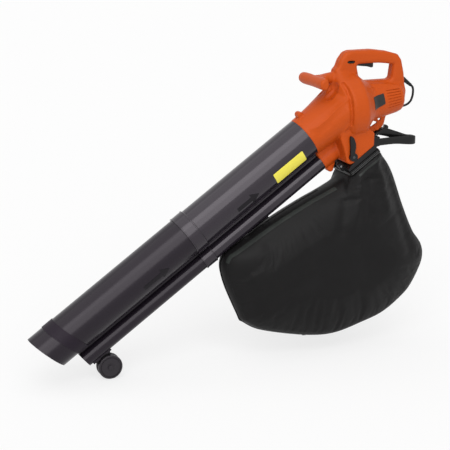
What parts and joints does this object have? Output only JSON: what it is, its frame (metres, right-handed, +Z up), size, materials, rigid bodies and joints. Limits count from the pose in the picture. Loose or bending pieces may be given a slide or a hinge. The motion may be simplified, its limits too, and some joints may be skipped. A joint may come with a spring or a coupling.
{
  "type": "leaf blower",
  "caption": "Corded blower and garden vacuum with a twin tube on a roller, closed top grip, cross handle, changeover lever and fabric collecting bag.",
  "frame": {"origin": "middle of the main grip, where the hand holds the machine", "axes": "+X to the rear, -X to the nozzle, +Z up, -Y the left side with the changeover lever"},
  "size_m": [1.2016, 0.238, 0.8748],
  "materials": {
    "housing_shell_left": "orange satin ABS with a fine grain",
    "housing_shell_right": "orange satin ABS with a fine grain",
    "housing_screw_1": "zinc plated or ground steel",
    "housing_screw_2": "zinc plated or ground steel",
    "housing_screw_3": "zinc plated or ground steel",
    "housing_screw_4": "zinc plated or ground steel",
    "housing_screw_5": "zinc plated or ground steel",
    "housing_screw_6": "zinc plated or ground steel",
    "front_handle_bar": "orange satin ABS with a fine grain",
    "front_handle_bolt": "zinc plated or ground steel",
    "trigger_pin": "zinc plated or ground steel",
    "trigger_spring": "spring steel wire",
    "switch_module": "black moulded plastic",
    "dial_board": "green circuit board",
    "fan_back_plate": "black moulded plastic",
    "bearing_front": "zinc plated or ground steel",
    "bearing_rear": "zinc plated or ground steel",
    "stator": "stacked electrical steel",
    "field_coil_front": "copper",
    "field_coil_rear": "copper",
    "brush_left": "carbon brush in its holder",
    "brush_right": "carbon brush in its holder",
    "motor_rear_bracket": "black moulded plastic",
    "tube_upper": "smoke grey translucent plastic, polished",
    "tube_lower": "smoke grey translucent plastic, polished",
    "tube_film": "plain yellow film",
    "wheel_bracket": "black moulded plastic",
    "wheel_axle": "zinc plated or ground steel",
    "name_plate": "plain dark plate",
    "bag_frame": "black moulded plastic",
    "bag_rivet_left": "zinc plated or ground steel",
    "bag_rivet_right": "zinc plated or ground steel",
    "bag_latch_pin": "zinc plated or ground steel",
    "bag_cuff": "black webbing",
    "bag_body": "black woven nylon",
    "bag_carry_loop": "black webbing",
    "bag_hanger_strap": "black webbing",
    "cord_sleeve": "black rubber",
    "cord": "black rubber",
    "plug_body": "black rubber",
    "plug_pin_left": "nickel plated contact pins",
    "plug_pin_right": "nickel plated contact pins",
    "trigger": "black moulded plastic",
    "speed_dial": "black moulded plastic",
    "impeller": "black moulded plastic",
    "impeller_nut": "zinc plated or ground steel",
    "motor_shaft": "zinc plated or ground steel",
    "armature": "stacked electrical steel",
    "commutator": "copper",
    "changeover_flap": "black moulded plastic",
    "changeover_lever": "black moulded plastic",
    "lever_screw": "zinc plated or ground steel",
    "wheel_left": "black moulded plastic",
    "wheel_right": "black moulded plastic",
    "bag_latch": "black moulded plastic",
    "bag_zip_slider": "black moulded plastic"
  },
  "bodies": {
    "machine": {"housing_shell_left": "housing_shell_left", "housing_shell_right": "housing_shell_right", "housing_screw_1": "housing_screw_1", "housing_screw_2": "housing_screw_2", "housing_screw_3": "housing_screw_3", "housing_screw_4": "housing_screw_4", "housing_screw_5": "housing_screw_5", "housing_screw_6": "housing_screw_6", "front_handle_bar": "front_handle_bar", "front_handle_bolt": "front_handle_bolt", "trigger_pin": "trigger_pin", "trigger_spring": "trigger_spring", "switch_module": "switch_module", "dial_board": "dial_board", "fan_back_plate": "fan_back_plate", "bearing_front": "bearing_front", "bearing_rear": "bearing_rear", "stator": "stator", "field_coil_front": "field_coil_front", "field_coil_rear": "field_coil_rear", "brush_left": "brush_left", "brush_right": "brush_right", "motor_rear_bracket": "motor_rear_bracket", "tube_upper": "tube_upper", "tube_lower": "tube_lower", "tube_film": "tube_film", "wheel_bracket": "wheel_bracket", "wheel_axle": "wheel_axle", "name_plate": "name_plate", "bag_frame": "bag_frame", "bag_rivet_left": "bag_rivet_left", "bag_rivet_right": "bag_rivet_right", "bag_latch_pin": "bag_latch_pin", "bag_cuff": "bag_cuff", "bag_body": "bag_body", "bag_carry_loop": "bag_carry_loop", "bag_hanger_strap": "bag_hanger_strap", "cord_sleeve": "cord_sleeve", "cord": "cord", "plug_body": "plug_body", "plug_pin_left": "plug_pin_left", "plug_pin_right": "plug_pin_right"},
    "trigger": {"trigger": "trigger"},
    "dial": {"speed_dial": "speed_dial"},
    "rotor": {"impeller": "impeller", "impeller_nut": "impeller_nut", "motor_shaft": "motor_shaft", "armature": "armature", "commutator": "commutator"},
    "changeover": {"changeover_flap": "changeover_flap", "changeover_lever": "changeover_lever", "lever_screw": "lever_screw"},
    "roller_left": {"wheel_left": "wheel_left"},
    "roller_right": {"wheel_right": "wheel_right"},
    "latch": {"bag_latch": "bag_latch"},
    "zip": {"bag_zip_slider": "bag_zip_slider"}
  },
  "joints": [
    {"name": "trigger_pull", "type": "hinge", "parent": "machine", "child": "trigger", "pos_m": [-0.041, 0, -0.012], "axis": [0, -1, 0], "range_deg": [0, 8], "stiffness_Nm_per_rad": 0.6, "springref_deg": -6.88, "deforming": ["trigger_spring"]},
    {"name": "speed_dial_turn", "type": "hinge", "parent": "machine", "child": "dial", "pos_m": [-0.068, -0.0085, -0.0095], "axis": [0, 0, 1], "range_deg": [0, 270]},
    {"name": "rotor_spin", "type": "hinge", "parent": "machine", "child": "rotor", "pos_m": [-0.101, 0, -0.14], "axis": [0.9925, 0, 0.1219], "continuous": true},
    {"name": "changeover_turn", "type": "hinge", "parent": "machine", "child": "changeover", "pos_m": [-0.0807, 0, -0.27063], "axis": [0, 1, 0], "range_deg": [0, 75]},
    {"name": "roller_left_spin", "type": "hinge", "parent": "machine", "child": "roller_left", "pos_m": [-0.78975, 0, -0.81839], "axis": [0, 1, 0], "continuous": true},
    {"name": "roller_right_spin", "type": "hinge", "parent": "machine", "child": "roller_right", "pos_m": [-0.78975, 0, -0.81839], "axis": [0, 1, 0], "continuous": true},
    {"name": "bag_latch_press", "type": "hinge", "parent": "machine", "child": "latch", "pos_m": [0.021, 0, -0.2255], "axis": [0, 1, 0], "range_deg": [0, 5], "stiffness_Nm_per_rad": 0.4, "springref_deg": -8.59},
    {"name": "bag_zip_run", "type": "slide", "parent": "machine", "child": "zip", "axis": [0.9975, 0, -0.0712], "range_m": [0, 0.05]}
  ]
}
